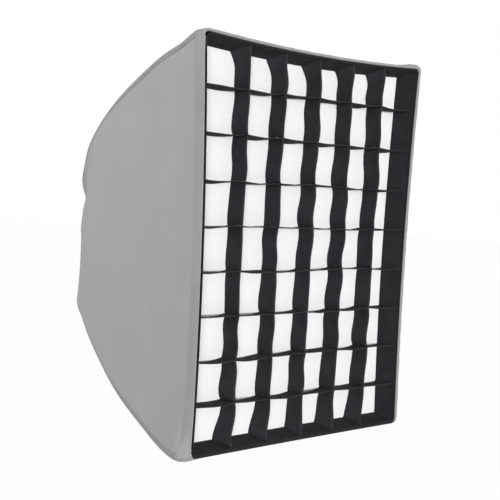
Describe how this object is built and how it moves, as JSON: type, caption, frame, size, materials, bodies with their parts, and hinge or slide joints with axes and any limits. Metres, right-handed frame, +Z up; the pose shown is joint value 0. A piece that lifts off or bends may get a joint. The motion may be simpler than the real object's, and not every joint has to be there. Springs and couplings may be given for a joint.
{
  "type": "rectangular softbox with egg-crate grid",
  "caption": "Deep rectangular fabric softbox with sprung rods, front diffuser, inner baffle and black egg-crate grid, on a turning speedring with a bayonet insert.",
  "frame": {"origin": "on the optical axis, on the insert's face that sits against the lamp head", "axes": "+Y towards the lamp head along the optical axis, +Z up along the tall side, the light leaves towards -Y"},
  "size_m": [0.6, 0.789, 0.7994],
  "materials": {
    "shell_cloth": "matt grey nylon, silver inside",
    "hem_cloth": "matt grey binding",
    "grid_cloth": "matt black nylon",
    "tape": "black hook-and-loop tape",
    "white_cloth": "matt white translucent nylon",
    "elastic": "white elastic webbing",
    "stud_metal": "polished press studs",
    "spring_steel": "drawn spring steel",
    "tip_rubber": "moulded rubber",
    "pouch_cloth": "doubled nylon webbing",
    "cast_aluminium": "die-cast, satin",
    "sleeve_steel": "pressed steel tube",
    "screw_steel": "turned steel",
    "insert_metal": "turned, satin",
    "knob_plastic": "moulded, fine grain",
    "cuff_cloth": "elastic grey cloth"
  },
  "bodies": {
    "bayonet": {"bayonet_insert": "insert_metal"},
    "screw_1": {"thumb_screw_shank_1": "screw_steel"},
    "knob_1": {"thumb_screw_knob_1": "knob_plastic"},
    "screw_2": {"thumb_screw_shank_2": "screw_steel"},
    "knob_2": {"thumb_screw_knob_2": "knob_plastic"},
    "screw_3": {"thumb_screw_shank_3": "screw_steel"},
    "knob_3": {"thumb_screw_knob_3": "knob_plastic"},
    "diffuser": {"front_diffuser": "white_cloth"},
    "grid": {"grid_border_bottom": "grid_cloth", "grid_border_left": "grid_cloth", "grid_border_right": "grid_cloth", "grid_border_top": "grid_cloth", "grid_level_1": "grid_cloth", "grid_level_2": "grid_cloth", "grid_level_3": "grid_cloth", "grid_level_4": "grid_cloth", "grid_level_5": "grid_cloth", "grid_level_6": "grid_cloth", "grid_level_7": "grid_cloth", "grid_level_8": "grid_cloth", "grid_upright_1": "grid_cloth", "grid_upright_2": "grid_cloth", "grid_upright_3": "grid_cloth", "grid_upright_4": "grid_cloth", "grid_upright_5": "grid_cloth", "hook_tape_bottom": "tape", "hook_tape_left": "tape", "hook_tape_right": "tape", "hook_tape_top": "tape"},
    "softbox": {"baffle_straps": "elastic", "baffle_studs": "stud_metal", "corner_pouch_lower_left": "pouch_cloth", "corner_pouch_lower_right": "pouch_cloth", "corner_pouch_upper_left": "pouch_cloth", "corner_pouch_upper_right": "pouch_cloth", "front_hem_bottom": "hem_cloth", "front_hem_left": "hem_cloth", "front_hem_right": "hem_cloth", "front_hem_top": "hem_cloth", "inner_baffle": "white_cloth", "loop_tape_bottom": "tape", "loop_tape_left": "tape", "loop_tape_right": "tape", "loop_tape_top": "tape", "panel_bottom": "shell_cloth", "panel_left": "shell_cloth", "panel_right": "shell_cloth", "panel_top": "shell_cloth", "rear_cuff": "cuff_cloth", "rod_lower_left": "spring_steel", "rod_lower_right": "spring_steel", "rod_socket_lower_left": "sleeve_steel", "rod_socket_lower_right": "sleeve_steel", "rod_socket_upper_left": "sleeve_steel", "rod_socket_upper_right": "sleeve_steel", "rod_tips": "tip_rubber", "rod_upper_left": "spring_steel", "rod_upper_right": "spring_steel", "socket_lock_screws": "screw_steel", "speedring": "cast_aluminium"}
  },
  "joints": [
    {"name": "ring_turn", "type": "hinge", "parent": "bayonet", "child": "softbox", "pos_m": [0, 0, 0], "axis": [0, 1, 0], "continuous": true},
    {"name": "screw_1_travel", "type": "slide", "parent": "softbox", "child": "screw_1", "axis": [1, 0, 0], "range_m": [0, 0.00321]},
    {"name": "knob_1_turn", "type": "hinge", "parent": "screw_1", "child": "knob_1", "pos_m": [0, -0.0145, 0], "axis": [1, 0, 0], "range_deg": [0, 1440]},
    {"name": "screw_2_travel", "type": "slide", "parent": "softbox", "child": "screw_2", "axis": [-0.5, 0, -0.866], "range_m": [0, 0.00321]},
    {"name": "knob_2_turn", "type": "hinge", "parent": "screw_2", "child": "knob_2", "pos_m": [0, -0.0145, 0], "axis": [-0.5, 0, -0.866], "range_deg": [0, 1440]},
    {"name": "screw_3_travel", "type": "slide", "parent": "softbox", "child": "screw_3", "axis": [-0.5, 0, 0.866], "range_m": [0, 0.00321]},
    {"name": "knob_3_turn", "type": "hinge", "parent": "screw_3", "child": "knob_3", "pos_m": [0, -0.0145, 0], "axis": [-0.5, 0, 0.866], "range_deg": [0, 1440]},
    {"name": "diffuser_off", "type": "slide", "parent": "softbox", "child": "diffuser", "axis": [0, -1, 0], "range_m": [0, 0.08]},
    {"name": "grid_off", "type": "slide", "parent": "diffuser", "child": "grid", "axis": [0, -1, 0], "range_m": [0, 0.06]}
  ],
  "couplings": [
    {"joint": "screw_1_travel", "follows": "knob_1_turn", "m_per_rad": 0.00012732},
    {"joint": "screw_2_travel", "follows": "knob_2_turn", "m_per_rad": 0.00012732},
    {"joint": "screw_3_travel", "follows": "knob_3_turn", "m_per_rad": 0.00012732}
  ]
}
